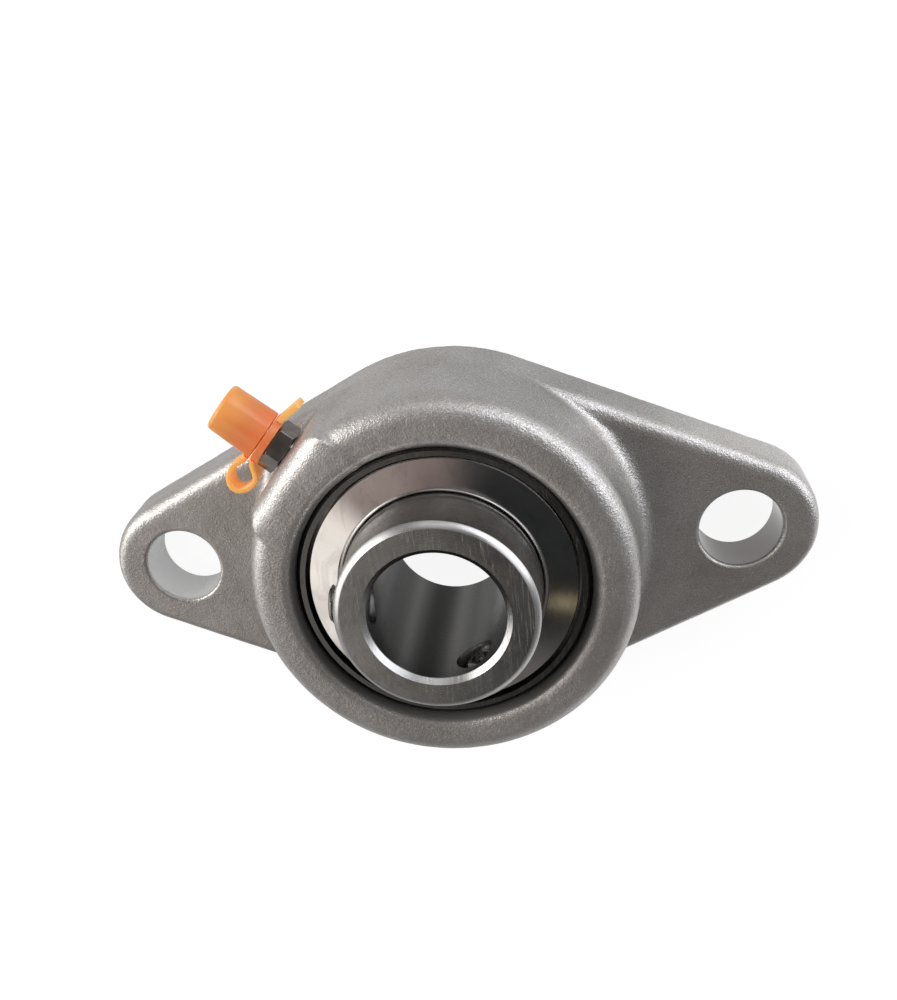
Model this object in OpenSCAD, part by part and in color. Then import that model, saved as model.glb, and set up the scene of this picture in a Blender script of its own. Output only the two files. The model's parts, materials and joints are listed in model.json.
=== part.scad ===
// Two-bolt flanged housing with a self-aligning ball bearing insert, grease nipple and dust cap.
// Millimetres. The mounting face is z = 0, the shaft axis is z and the bolt holes lie along x.

/* [Flange] */
// Distance between the centres of the two bolt holes
bolt_pitch = 90; // [87:0.5:94]
// Diameter of the bolt holes
bolt_hole_d = 12.4; // [10.5:0.1:13.2]
// Radius of the flange's round ends
tip_r = 11.15; // [10:0.05:12.5]
// How far the centre of each round end lies outside its bolt hole
tip_out = 0.8; // [0:0.1:1.5]
// How far the flange's middle stands out beyond the boss
flange_rim = 1.05; // [0.55:0.05:2.8]
// Thickness of the flange
flange_h = 9.5; // [7.5:0.25:10.5]
// Rounding of the flange's upper edge
flange_round = 1.2; // [0.5:0.1:2]
// Chamfer of the flange's lower edge
flange_foot = 0.4; // [0.1:0.1:0.8]
// Draft of the flange's side, measured across its whole height
flange_draft = 0.25; // [0:0.05:0.6]
// Countersink at both ends of each bolt hole
bolt_hole_chamfer = 0.5; // [0.1:0.1:1]

/* [Boss] */
// Height of the boss's front face over the mounting face
boss_h = 25.5; // [25:0.1:27]
// Wall of the boss around the insert, measured just below its rounded edge
boss_wall = 5.7; // [4.5:0.1:6.2]
// Rounding of the boss's front edge
boss_round = 3.2; // [2:0.1:3.8]
// Fillet between the boss and the flange
boss_fillet = 2.6; // [1:0.1:3.6]

/* [Seat] */
// Height of the bearing's centre over the mounting face
centre_h = 15; // [14.7:0.1:15.3]
// Running gap between the spherical seat and the outer ring
seat_gap = 0.02; // [0.01:0.005:0.05]
// How much narrower the machined mouth in the front face is than the insert
mouth_step = 0.8; // [-1:0.1:1.6]
// How much narrower the recess behind the seat is than the insert
recess_step = 1.8; // [0.6:0.1:2.6]
// Depth of that recess
recess_h = 5.2; // [3.5:0.1:6]
// Room beside the outer ring in the two loading slots
slot_gap = 0.6; // [0.2:0.1:1.2]
// Width of the grease groove in the seat
seat_groove_w = 6.4; // [5.6:0.1:7]
// Height of that groove's middle over the bearing's centre
seat_groove_up = 1.8; // [1.4:0.1:2.2]
// Depth of that groove
seat_groove_depth = 0.8; // [0.4:0.1:1.2]

/* [Bearing] */
// Diameter of the shaft bore
bore_d = 20; // [19:0.5:20.5]
// Spherical outside diameter of the outer ring
insert_d = 47; // [44:0.5:50]
// Width of the outer ring
ring_w = 17; // [16.4:0.1:17.4]
// Length of the inner ring from the bearing's centre to its nose
nose_len = 18.3; // [16.6:0.1:20]
// Length of the inner ring from the bearing's centre to its back end
tail_len = 12.7; // [11.2:0.1:13.5]
// Distance from the balls' pitch circle in to the ground seats of the slingers
land_drop = 1.75; // [1.6:0.05:1.8]
// How far the nose and tail stand back from those seats
nose_step = 0.2; // [0.1:0.05:0.5]
// Chamfer at both ends of the bore
bore_chamfer = 0.8; // [0.3:0.1:1.2]
// Rounding of the inner ring's outer edges
nose_round = 0.9; // [0.4:0.1:1.2]
// Radial gap between the shoulders of the two rings, where the cage runs
ring_gap = 3.8; // [3.5:0.1:4.2]
// Width of the outer ring's end faces
rim_w = 1.25; // [1.15:0.05:1.4]
// Diameter of the lubrication holes in the outer ring
lube_hole_d = 0.9; // [0.6:0.1:1]
// Chamfer of the outer ring's edges
ring_chamfer = 0.45; // [0.2:0.05:0.6]

/* [Balls and cage] */
// Number of balls
ball_n = 8; // [6:1:8]
// Diameter of the balls
ball_d = 7.938; // [7.5:0.001:8.1]
// Raceway radius as a share of the ball's diameter
conformity = 0.52; // [0.51:0.005:0.54]
// Gap between a ball and each raceway at rest
race_gap = 0.015; // [0.01:0.005:0.03]
// Gap between a ball and its pocket
pocket_gap = 0.13; // [0.08:0.01:0.2]
// Thickness of the cage's sheet
cage_t = 0.5; // [0.4:0.05:0.6]
// Width of the cage's ribbon, measured along the radius
cage_w = 2.1; // [1.6:0.1:2.3]
// Diameter of the rivets' shanks
rivet_d = 1; // [0.8:0.1:1.2]
// Height of the rivets' heads
rivet_head_h = 0.35; // [0.2:0.05:0.5]

/* [Seals and slingers] */
// Distance from the outer ring's end faces to the inner face of each seal plate
seal_inset = 3.6; // [3.4:0.05:3.75]
// Thickness of the seal plates
seal_t = 0.5; // [0.4:0.05:0.6]
// How far the seal plates step outwards between rim and lip
seal_step = 0.5; // [0.3:0.05:0.6]
// Depth of the groove that holds a seal plate's rim
seal_groove_depth = 0.3; // [0.15:0.05:0.4]
// Radial height of the rubber lips
lip_h = 1.5; // [1.2:0.1:1.8]
// Gap between a rubber lip and the inner ring
lip_gap = 0.03; // [0.02:0.01:0.1]
// Radial gap between a slinger and the outer ring
slinger_gap = 0.45; // [0.35:0.05:0.8]
// Distance from the outer ring's end faces back to a slinger's rim
slinger_inset = 0.75; // [0.6:0.05:1]
// How much higher a slinger is at its rolled hub than at its rim
slinger_dish = 0.5; // [0.2:0.05:0.6]
// Thickness of the slingers
slinger_t = 0.5; // [0.4:0.05:0.6]
// Outer radius of the slingers' rolled hub
slinger_roll = 0.9; // [0.7:0.05:1]

/* [Set screws] */
// Diameter of the set screws
screw_d = 6; // [5:0.5:6]
// Length of the set screws
screw_len = 5; // [4:0.5:6]
// Depth of the countersinks at the mouths of the tapped holes
screw_sink = 0.4; // [0.2:0.1:0.8]
// Distance from the nose's end to the set screws
screw_from_nose = 5; // [4.6:0.1:5.2]
// How far a set screw's point stands back from the bore's wall
screw_back = 0.8; // [0.3:0.1:1.5]
// Direction of the first set screw, in degrees from the x axis
screw_angle = 176.5; // [170:0.5:185]
// Angle from the first set screw to the second
screw_spread = 120; // [62:1:120]
// Radial clearance of the set screws in their tapped holes
screw_gap = 0.04; // [0.02:0.01:0.08]
// Size of the set screws' hexagon sockets across flats
socket_af = 3; // [2.5:0.5:3]
// Depth of those sockets
socket_depth = 2.4; // [1.5:0.1:2.6]

/* [Grease nipple] */
// Direction of the nipple, in degrees from the x axis
nipple_angle = 137.5; // [125:0.5:145]
// Width of the flat pad on the boss under the nipple
pad_w = 14.5; // [10:0.5:16]
// Height of the sloped flanks at both ends of the pad
pad_flank = 1.6; // [1.2:0.1:2.5]
// Thread diameter of the nipple
nipple_thread_d = 6.1; // [5:0.1:6.3]
// Length of the nipple's thread
nipple_thread_len = 4.2; // [3:0.1:4.4]
// Radial clearance of that thread in its tapped hole
nipple_gap = 0.03; // [0.02:0.01:0.06]
// Gap between the pad and the nipple's hexagon
hex_lift = 0.3; // [0.2:0.1:0.8]
// Size of the hexagon across flats
hex_af = 7; // [6.5:0.5:8]
// Height of the hexagon
hex_h = 2.7; // [2:0.1:4]
// Turn of the hexagon about the nipple's axis
hex_turn = 24; // [0:1:59]
// Diameter of the neck behind the nipple's head
neck_d = 4.7; // [4.3:0.1:5.2]
// Largest diameter of the nipple's head
head_d = 6.5; // [6:0.1:6.6]
// Diameter of the nipple's tip
nipple_tip_d = 4; // [3.4:0.1:4.6]
// Length of the nipple beyond its hexagon
head_len = 7; // [6.6:0.1:7.6]
// Diameter of the check ball
check_ball_d = 2.5; // [2.3:0.1:2.7]
// Diameter of the nipple's mouth
nipple_mouth_d = 1.9; // [1.6:0.1:2]
// Radial gap between the check ball and the nipple's bore
check_gap = 0.2; // [0.1:0.05:0.3]
// Wire diameter of the check ball's spring
wire_d = 0.4; // [0.3:0.05:0.5]
// Turns of that spring
spring_turns = 6; // [4:1:9]

/* [Dust cap] */
// Diameter of the cap at its open end
cap_d = 8; // [7.8:0.1:8.6]
// Diameter of the cap at its closed end
cap_end_d = 7.6; // [6.9:0.1:7.8]
// Length of the cap
cap_len = 7.7; // [7.2:0.1:8.4]
// Gap between the cap's open end and the tether ring
cap_slit = 0.12; // [0.05:0.01:0.4]
// Rounding of the cap's closed end
cap_round = 0.7; // [0.3:0.1:1]
// Radial gap between the cap and the widest part of the nipple's head
cap_gap = 0.06; // [0.03:0.01:0.1]
// Thickness of the tether ring around the neck
tether_t = 1.2; // [0.8:0.1:1.4]
// Diameter of the tether ring
tether_d = 8; // [7.4:0.1:8.6]
// Clearance of the tether ring on the neck and beside the hexagon
tether_gap = 0.1; // [0.05:0.01:0.2]
// How far the pull tab reaches from the nipple's axis
tab_reach = 8.1; // [6:0.1:9]
// Width of the pull tab
tab_w = 3.2; // [2:0.1:4.5]
// Thickness of the pull tab
tab_t = 0.9; // [0.5:0.1:1.1]
// Lean of the pull tab towards the housing, in degrees
tab_lean = 14; // [0:1:20]
// Width of the strap
strap_w = 3.4; // [1.6:0.1:4]
// Thickness of the strap
strap_t = 0.8; // [0.5:0.05:0.9]
// How far the strap's loop reaches from the nipple's axis
strap_reach = 9.9; // [8.5:0.1:12]
// How far the loop's middle dips towards the housing below the tether ring's middle
strap_dip = 2; // [0:0.1:2.2]
// How far the loop's middle rises above its end on the cap
strap_rise = 0.8; // [0:0.1:2]

/* [Hidden] */
$fn = 128;
// Overshoot of the cutting shapes
cut = 1;
// Number of points in a small rounding
round_n = 8;

boss_r = insert_d / 2 + boss_wall;
flange_r = boss_r + flange_rim;
tip_at = bolt_pitch / 2 + tip_out;
boss_foot_r = flange_r - flange_draft;
seat_r = insert_d / 2 + seat_gap;
mouth_d = insert_d - mouth_step;
recess_d = insert_d - recess_step;

bore_r = bore_d / 2;
// The balls run midway between the shaft and the housing
pitch_r = (insert_d + bore_d) / 4;
land_r = pitch_r - land_drop;
nose_r = land_r - nose_step;
shoulder_r = land_r + ring_gap;
cage_mid_r = land_r + ring_gap / 2;
// Radius of the sphere's edge at the outer ring's end faces
rim_r = sqrt(pow(insert_d / 2, 2) - pow(ring_w / 2, 2));
ring_mouth_r = rim_r - rim_w;
seal_groove_r = ring_mouth_r + seal_groove_depth;
seal_at = ring_w / 2 - seal_inset;
seal_rim = seal_at + seal_t;
seal_top = seal_rim + seal_step;
lip_r = land_r + lip_h;
slinger_r = ring_mouth_r - slinger_gap;
slinger_at = ring_w / 2 - slinger_inset;
hub_top = slinger_at + slinger_dish;
// The slingers' seats end just outside their rolled hubs
land_len = hub_top + 0.7;

ball_r = ball_d / 2;
race_r = ball_d * conformity;
inner_race_at = pitch_r - ball_r - race_gap + race_r;
outer_race_at = pitch_r + ball_r + race_gap - race_r;
pocket_r = ball_r + pocket_gap;
// The outer ring's lubrication holes lie midway between its raceway's edge and the seal
lube_at = (seal_at + sqrt(pow(race_r, 2) - pow(shoulder_r - outer_race_at, 2))) / 2;

screw_r = screw_d / 2;
screw_h = centre_h + nose_len - screw_from_nose;
screw_in = bore_r + screw_back;

hex_r = hex_af / 2 / cos(30);
// The pad is level with the boss wall beside the hexagon
pad_at = max(wall_at(centre_h - hex_r), wall_at(centre_h + hex_r));
hex_at = pad_at + hex_lift;
head_at = hex_at + hex_h;
nipple_end = head_at + head_len;
thread_end = pad_at - nipple_thread_len;
check_r = check_ball_d / 2;
check_bore_r = check_r + check_gap;
// Wall between the nipple's bore and its mouth
mouth_len = 0.8;
mouth_at = nipple_end - mouth_len;
mouth_r = nipple_mouth_d / 2;
check_at = mouth_at - sqrt(pow(check_r, 2) - pow(mouth_r, 2)) - 0.02;
// Rolled edge that holds the spring in the nipple
crimp = 0.5;
spring_from = thread_end + crimp + 0.02;
coil_r = check_bore_r - wire_d / 2 - 0.05;
spring_to = check_at - sqrt(pow(check_r + wire_d / 2, 2) - pow(coil_r, 2)) + wire_d / 2 - 0.03;

neck_r = neck_d / 2;
head_r = head_d / 2;
grip_at = head_at + head_len * 0.68;
tether_r = tether_d / 2;
tether_at = head_at + tether_gap;
cap_r = cap_d / 2;
cap_at = tether_at + tether_t + cap_slit;
cap_end = cap_at + cap_len;
cap_inner_r = head_r + cap_gap;
// Overlap of the pull tab's root with the tether ring
tab_root = 0.6;

// Radius of the boss wall at height z
function wall_at(z) = boss_foot_r + (boss_r - boss_foot_r) * z / (boss_h - boss_round);
// Point of an arc about a centre
function arc_point(c, r, a) = [c[0] + r * cos(a), c[1] + r * sin(a)];
// Points of an arc from angle a to angle b
function arc(c, r, a, b) = [for (i = [0:round_n]) arc_point(c, r, a + (b - a) * i / round_n)];
// Point of a cubic curve c, given as its start, two handles and its end
function curve(c, t) =
  pow(1 - t, 3) * c[0] + 3 * t * pow(1 - t, 2) * c[1] + 3 * t * t * (1 - t) * c[2] + pow(t, 3) * c[3];
// Direction of that curve
function curve_dir(c, t) =
  pow(1 - t, 2) * (c[1] - c[0]) + 2 * t * (1 - t) * (c[2] - c[1]) + t * t * (c[3] - c[2]);
// Point beside that curve, at a distance to its left
function beside(c, t, distance) =
  let (d = curve_dir(c, t)) curve(c, t) + distance / norm(d) * [-d[1], d[0]];

// Places its children at the bearing's centre
module at_centre() {
  translate([0, 0, centre_h]) children();
}

// Turns the local z axis into the radial direction at the given angle and height
module radial(angle, height) {
  translate([0, 0, height]) rotate([0, 0, angle]) rotate([0, 90, 0]) children();
}

// The nipple's axis, with local z as the distance from the shaft axis
module nipple_axis() {
  radial(nipple_angle, centre_h) children();
}

// Repeats its children once for each ball, from half a step off the x axis
module each_ball() {
  for (i = [1:ball_n]) rotate([0, 0, ball_angle(i)]) translate([pitch_r, 0, 0]) children();
}

function ball_angle(i) = (i - 0.5) * 360 / ball_n;

// One slice of the flange: its oval outline, drawn in by inset
module flange_slice(z, inset) {
  for (side = [-1:1])
    translate([side * tip_at, 0, z])
      cylinder(h = 0.01, r = (side == 0 ? flange_r : tip_r) - inset, $fn = 64);
}

// The flange's oval plate with its draft, foot chamfer and rounded upper edge
module flange_plate() {
  round_at = flange_h - flange_round;
  hull() {
    flange_slice(0, flange_foot);
    flange_slice(flange_foot, 0);
    for (a = [0:18:90])
      flange_slice(
        round_at + flange_round * sin(a) - 0.01,
        flange_draft + flange_round * (1 - cos(a))
      );
  }
}

// Half section of the boss, a drafted cylinder with a rounded front edge
module boss_section() {
  polygon(concat(
    [[0, 0], [boss_foot_r, 0]],
    arc([boss_r - boss_round, boss_h - boss_round], boss_round, 0, 90),
    [[0, boss_h]]
  ));
}

// Half section of the fillet at the boss's foot
module fillet_section() {
  out_r = wall_at(flange_h) + boss_fillet;
  centre = [out_r, flange_h + boss_fillet - 0.04];
  polygon(concat(
    [[boss_r - boss_round, flange_h - flange_round], [out_r, flange_h - flange_round]],
    arc(centre, boss_fillet, 270, 180),
    [[boss_r - boss_round, flange_h + boss_fillet]]
  ));
}

// The fillet, kept within the flat part of the flange's upper face
module boss_foot() {
  intersection() {
    rotate_extrude() fillet_section();
    hull()
      for (z = [0, boss_h])
        flange_slice(z, flange_draft + flange_round);
  }
}

// Flat pad for the nipple: the boss's own profile carried on straight, with sloped ends
module nipple_pad() {
  half_w = pad_w / 2;
  rotate([0, 0, nipple_angle]) intersection() {
    rotate([90, 0, 0]) linear_extrude(height = 2 * pad_w, center = true)
      polygon(concat(
        [[shoulder_r, 0], [pad_at, 0]],
        arc([pad_at - boss_round, boss_h - boss_round], boss_round, 0, 90),
        [[shoulder_r, boss_h]]
      ));
    linear_extrude(height = boss_h) polygon([
      [shoulder_r, -half_w - pad_flank],
      [pad_at - pad_flank, -half_w - pad_flank],
      [pad_at - 0.3, -half_w - 0.3],
      [pad_at, -half_w + 0.6],
      [pad_at, half_w - 0.6],
      [pad_at - 0.3, half_w + 0.3],
      [pad_at - pad_flank, half_w + pad_flank],
      [shoulder_r, half_w + pad_flank]
    ]);
  }
}

// Everything that is machined or cored out of the casting
module housing_cuts() {
  at_centre() sphere(r = seat_r);
  // Mouth, a 45 degree cone that opens towards the front face
  translate([0, 0, boss_h - mouth_d / 4])
    cylinder(h = mouth_d / 4 + cut, r1 = mouth_d / 4, r2 = mouth_d / 2 + cut);
  translate([0, 0, -cut]) cylinder(h = recess_h + cut, d = recess_d);
  // Slots through which the insert is loaded edgewise and then turned
  intersection() {
    translate([-insert_d, -(ring_w + slot_gap) / 2, -cut])
      cube([2 * insert_d, ring_w + slot_gap, centre_h + cut]);
    translate([0, 0, -cut]) cylinder(h = boss_h, r = seat_r + 0.2);
  }
  // Grease groove and the nipple's passage into it
  at_centre() rotate_extrude()
    translate([shoulder_r, seat_groove_up - seat_groove_w / 2])
      square([seat_r + seat_groove_depth - shoulder_r, seat_groove_w]);
  nipple_axis() {
    translate([0, 0, thread_end - 0.3])
      cylinder(h = boss_r, r = nipple_thread_d / 2 + nipple_gap);
    translate([0, 0, shoulder_r]) cylinder(h = boss_r - shoulder_r, r = nipple_thread_d / 4);
  }
  for (side = [-1, 1]) translate([side * bolt_pitch / 2, 0, 0]) {
    translate([0, 0, -cut]) cylinder(h = flange_h + 2 * cut, d = bolt_hole_d);
    for (end = [0, 1]) translate([0, 0, end * flange_h]) mirror([0, 0, end])
      translate([0, 0, -cut])
        cylinder(
          h = bolt_hole_chamfer + cut,
          r1 = bolt_hole_d / 2 + bolt_hole_chamfer + cut,
          r2 = bolt_hole_d / 2
        );
  }
}

module housing() {
  color("darkgray") difference() {
    union() {
      flange_plate();
      rotate_extrude() boss_section();
      boss_foot();
      nipple_pad();
    }
    housing_cuts();
  }
}

// Half section of the outer ring
module outer_ring_section() {
  half = ring_w / 2;
  difference() {
    intersection() {
      circle(r = insert_d / 2);
      translate([shoulder_r, -half]) square([insert_d, ring_w]);
    }
    translate([outer_race_at, 0]) circle(r = race_r);
    for (side = [0, 1]) mirror([0, side]) {
      translate([0, seal_at]) square([seal_groove_r, seal_t + 0.1]);
      translate([0, seal_at]) square([ring_mouth_r, half]);
      // Chamfer between the end face and the sphere
      translate([rim_r, half]) rotate(45)
        square([ring_chamfer * sqrt(2), ring_chamfer * 3], center = true);
      // Lubrication groove on the sphere, a little wider than its holes
      translate([insert_d / 2 - lube_hole_d, lube_at - lube_hole_d * 0.65])
        square([insert_d, lube_hole_d * 1.3]);
    }
  }
}

module outer_ring() {
  color("lightsteelblue") at_centre() difference() {
    rotate_extrude() outer_ring_section();
    for (side = [-1, 1])
      translate([0, 0, side * lube_at]) rotate([0, 0, nipple_angle + 30]) rotate([0, 90, 0])
        cylinder(h = insert_d, d = lube_hole_d, $fn = 32);
  }
}

// Half section of the inner ring
module inner_ring_section() {
  difference() {
    polygon(concat(
      [[bore_r, nose_len - bore_chamfer], [bore_r, bore_chamfer - tail_len]],
      [[bore_r + bore_chamfer, -tail_len]],
      arc([nose_r - nose_round, nose_round - tail_len], nose_round, -90, 0),
      [[nose_r, -land_len], [land_r, -land_len], [land_r, land_len], [nose_r, land_len]],
      arc([nose_r - nose_round, nose_len - nose_round], nose_round, 0, 90),
      [[bore_r + bore_chamfer, nose_len]]
    ));
    translate([inner_race_at, 0]) circle(r = race_r);
  }
}

module inner_ring() {
  color("silver") difference() {
    at_centre() rotate_extrude() inner_ring_section();
    for (i = [0, 1]) radial(screw_angle + i * screw_spread, screw_h) {
      cylinder(h = 2 * land_r, r = screw_r + screw_gap);
      translate([0, 0, nose_r - screw_sink]) cylinder(h = screw_r, r1 = screw_r, r2 = 2 * screw_r);
    }
  }
}

// Shape of a pressed seal plate in the outer ring's groove, stepped outwards towards its lip
module seal_plate_shape() {
  out_r = seal_groove_r - 0.03;
  step_r = (out_r + lip_r) / 2;
  low = seal_at + 0.03;
  rotate_extrude() polygon([
    [out_r, low],
    [out_r, seal_rim],
    [step_r + seal_step, seal_rim],
    [step_r, seal_top],
    [lip_r, seal_top],
    [lip_r, low + seal_step],
    [step_r - 0.2, low + seal_step],
    [step_r + seal_step - 0.2, low]
  ]);
}

module front_seal_plate() {
  color("silver") at_centre() seal_plate_shape();
}

module back_seal_plate() {
  color("silver") at_centre() mirror([0, 0, 1]) seal_plate_shape();
}

// Shape of a rubber lip bonded to a seal plate, with its edge on the inner ring
module seal_lip_shape() {
  edge_r = land_r + lip_gap;
  foot = seal_top - seal_t - 0.15;
  rotate_extrude() polygon([
    [lip_r, foot],
    [lip_r, seal_top],
    [edge_r + lip_h * 0.25, seal_top],
    [edge_r, seal_top - 0.15],
    [edge_r, seal_top - 0.4],
    [edge_r + lip_h * 0.4, foot]
  ]);
}

module front_seal_lip() {
  color("dimgray") at_centre() seal_lip_shape();
}

module back_seal_lip() {
  color("dimgray") at_centre() mirror([0, 0, 1]) seal_lip_shape();
}

// Shape of a polished disc pressed on the inner ring, rolled down into a short hub
module slinger_shape() {
  centre = [land_r + slinger_roll, hub_top - slinger_roll];
  hub_end = seal_top + 0.25;
  // Direction at which the roll runs out into the dished disc
  lean = 90 + atan(slinger_dish / (slinger_r - centre[0]));
  edge = 0.15;
  rotate_extrude() polygon(concat(
    [[land_r, hub_end]],
    arc(centre, slinger_roll, 180, lean),
    [[slinger_r - edge, slinger_at], [slinger_r, slinger_at - edge]],
    [[slinger_r, slinger_at - slinger_t]],
    arc(centre, slinger_roll - slinger_t, lean, 180),
    [[land_r + slinger_t, hub_end]]
  ));
}

module front_slinger() {
  color("silver") at_centre() slinger_shape();
}

module back_slinger() {
  color("silver") at_centre() mirror([0, 0, 1]) slinger_shape();
}

// One pressed half of the ball cage, a ribbon that domes over each ball, on the side of positive z
module cage_shape() {
  step = 360 / ball_n;
  difference() {
    intersection() {
      rotate_extrude() translate([cage_mid_r - cage_w / 2, 0]) square([cage_w, ball_d]);
      union() {
        cylinder(h = cage_t, r = cage_mid_r + cage_w);
        each_ball() sphere(r = pocket_r + cage_t);
      }
    }
    each_ball() sphere(r = pocket_r);
    for (i = [1:ball_n]) rotate([0, 0, i * step]) translate([cage_mid_r, 0, -cut])
      cylinder(h = 2 * cut + cage_t, d = rivet_d + 0.02);
  }
}

module cage_front() {
  color("gold") at_centre() cage_shape();
}

module cage_back() {
  color("gold") at_centre() mirror([0, 0, 1]) cage_shape();
}

// Rivets between the pockets, headed on both sides
module cage_rivets() {
  color("silver") at_centre() for (i = [1:ball_n])
    rotate([0, 0, i * 360 / ball_n]) translate([cage_mid_r, 0, 0]) {
      cylinder(h = 2 * cage_t + 0.02, d = rivet_d, center = true);
      for (side = [0, 1]) mirror([0, 0, side]) translate([0, 0, cage_t + 0.01])
        cylinder(h = rivet_head_h, d1 = 1.8 * rivet_d, d2 = 1.1 * rivet_d);
    }
}

module ball(i) {
  color("gainsboro") at_centre() rotate([0, 0, ball_angle(i)]) translate([pitch_r, 0, 0])
    sphere(r = ball_r);
}

// Shape of a grub screw at the given angle, with a hexagon socket outside and a cup point inside
module set_screw_shape(angle) {
  chamfer = screw_r * 0.25;
  radial(angle, screw_h)
    translate([0, 0, screw_in]) difference() {
      rotate_extrude() polygon([
        [0, screw_r * 0.3],
        [screw_r * 0.5, 0],
        [screw_r - chamfer * 1.4, 0],
        [screw_r, chamfer],
        [screw_r, screw_len - chamfer * 0.6],
        [screw_r - chamfer * 0.6, screw_len],
        [0, screw_len]
      ]);
      translate([0, 0, screw_len - socket_depth])
        cylinder(h = socket_depth + cut, d = socket_af / cos(30), $fn = 6);
    }
}

module set_screw_1() {
  color("dimgray") set_screw_shape(screw_angle);
}

module set_screw_2() {
  color("dimgray") set_screw_shape(screw_angle + screw_spread);
}

// Half section of the nipple's thread, undercut and head, with its bore
module nipple_section() {
  thread_r = nipple_thread_d / 2;
  polygon([
    [check_bore_r - crimp, thread_end],
    [thread_r - crimp, thread_end],
    [thread_r, thread_end + crimp],
    [thread_r, pad_at - 0.3],
    [thread_r - 0.4, pad_at - 0.1],
    [thread_r - 0.4, hex_at + 0.1],
    [neck_r, hex_at + 0.1],
    [neck_r, head_at + head_len * 0.38],
    [head_r, head_at + head_len * 0.55],
    [head_r, grip_at],
    [nipple_tip_d / 2, nipple_end],
    [mouth_r, nipple_end],
    [mouth_r, mouth_at],
    [check_bore_r, mouth_at],
    [check_bore_r, thread_end + crimp],
    [check_bore_r - crimp, thread_end + crimp]
  ]);
}

// The nipple's hexagon with its corners turned off at both ends
module nipple_hex() {
  chamfer = 0.25;
  intersection() {
    difference() {
      translate([0, 0, hex_at]) rotate([0, 0, 30 + hex_turn]) cylinder(h = hex_h, r = hex_r, $fn = 6);
      translate([0, 0, hex_at - cut]) cylinder(h = hex_h + 2 * cut, r = check_bore_r + 0.3);
    }
    rotate_extrude() polygon([
      [0, hex_at],
      [hex_r - chamfer * 2, hex_at],
      [hex_r + 0.01, hex_at + chamfer],
      [hex_r + 0.01, head_at - chamfer],
      [hex_r - chamfer * 2, head_at],
      [0, head_at]
    ]);
  }
}

module grease_nipple() {
  color("slategray") nipple_axis() union() {
    rotate_extrude() nipple_section();
    nipple_hex();
  }
}

module nipple_ball() {
  color("silver") nipple_axis() translate([0, 0, check_at]) sphere(d = check_ball_d);
}

// Coil spring behind the check ball, a round wire swept along a helix
module nipple_spring() {
  sides = 6;
  steps = 14;
  n = spring_turns * steps;
  rise = spring_to - spring_from - wire_d;
  points = [
    for (i = [0:n]) for (j = [0:sides - 1])
      let (a = 360 * i / steps, b = 360 * j / sides, r = coil_r + wire_d / 2 * cos(b))
        [r * cos(a), r * sin(a), spring_from + wire_d / 2 + rise * i / n + wire_d / 2 * sin(b)]
  ];
  walls = [
    for (i = [0:n - 1]) for (j = [0:sides - 1])
      let (k = i * sides, m = (j + 1) % sides)
        each [[k + j, k + m, k + sides + m], [k + j, k + sides + m, k + sides + j]]
  ];
  ends = [[for (j = [sides - 1:-1:0]) j], [for (j = [0:sides - 1]) n * sides + j]];
  color("silver") nipple_axis() polyhedron(points = points, faces = concat(walls, ends));
}

// Thin-walled cap with a snap bead that grips the nipple's head
module dust_cap() {
  end_r = cap_end_d / 2;
  roof = nipple_end + 0.3;
  color("darkorange") nipple_axis() rotate_extrude() polygon(concat(
    [[cap_inner_r, cap_at], [cap_r - 0.15, cap_at], [cap_r, cap_at + 0.15]],
    arc([end_r - cap_round, cap_end - cap_round], cap_round, 5, 90),
    [[0, cap_end], [0, roof], [nipple_tip_d / 2 + 0.5, roof], [cap_inner_r, grip_at + 0.3]]
  ));
}

// Ring around the nipple's neck with its pull tab
module cap_tether_ring() {
  color("darkorange") nipple_axis() translate([0, 0, tether_at]) difference() {
    union() {
      cylinder(h = tether_t, r = tether_r);
      // The tab leaves the ring on the side away from the strap
      translate([0, tab_root - tether_r, tether_t]) rotate([tab_lean, 0, 0]) pull_tab();
    }
    translate([0, 0, -cut]) cylinder(h = tether_t + 2 * cut, r = neck_r + tether_gap);
  }
}

// Flat tab with clipped corners, flush with the ring's outer face at its root
module pull_tab() {
  reach = tab_reach - tether_r + tab_root;
  half_w = tab_w / 2;
  clip = 0.4;
  translate([0, 0, -tab_t]) linear_extrude(height = tab_t) polygon([
    [-half_w, 0],
    [half_w, 0],
    [half_w, clip - reach],
    [half_w - clip, -reach],
    [clip - half_w, -reach],
    [-half_w, clip - reach]
  ]);
}

// Strap that loops from the tether ring's rim, past the hexagon and back to the cap's open end
module cap_strap() {
  root = [tether_r + 0.03, tether_at + tether_t / 2];
  end = [cap_r + 0.03, cap_at + strap_t / 2 + 0.03];
  far = [strap_reach - strap_t / 2, root[1]];
  low = [(root[0] + far[0]) / 2, root[1] - strap_dip];
  high = [low[0], end[1] + strap_rise];
  out = (far[0] - low[0]) * 0.55;
  path = [
    [root, root + [0.9, 0], low - [out, 0], low],
    [low, low + [out, 0], far - [0, strap_dip * 0.55], far],
    [far, far + [0, (high[1] - far[1]) * 0.55], high + [out, 0], high],
    [high, high - [out * 0.8, 0], end + [0.9, 0], end]
  ];
  steps = 8;
  function edge(distance) = [
    for (c = path) for (i = [0:steps - 1]) beside(c, i / steps, distance),
    beside(path[3], 1, distance)
  ];
  inner = edge(strap_t / 2);
  outer = edge(-strap_t / 2);
  color("darkorange") nipple_axis() rotate([90, 0, 90])
    linear_extrude(height = strap_w, center = true)
      polygon(concat(outer, [for (i = [len(inner) - 1:-1:0]) inner[i]]));
}

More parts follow.
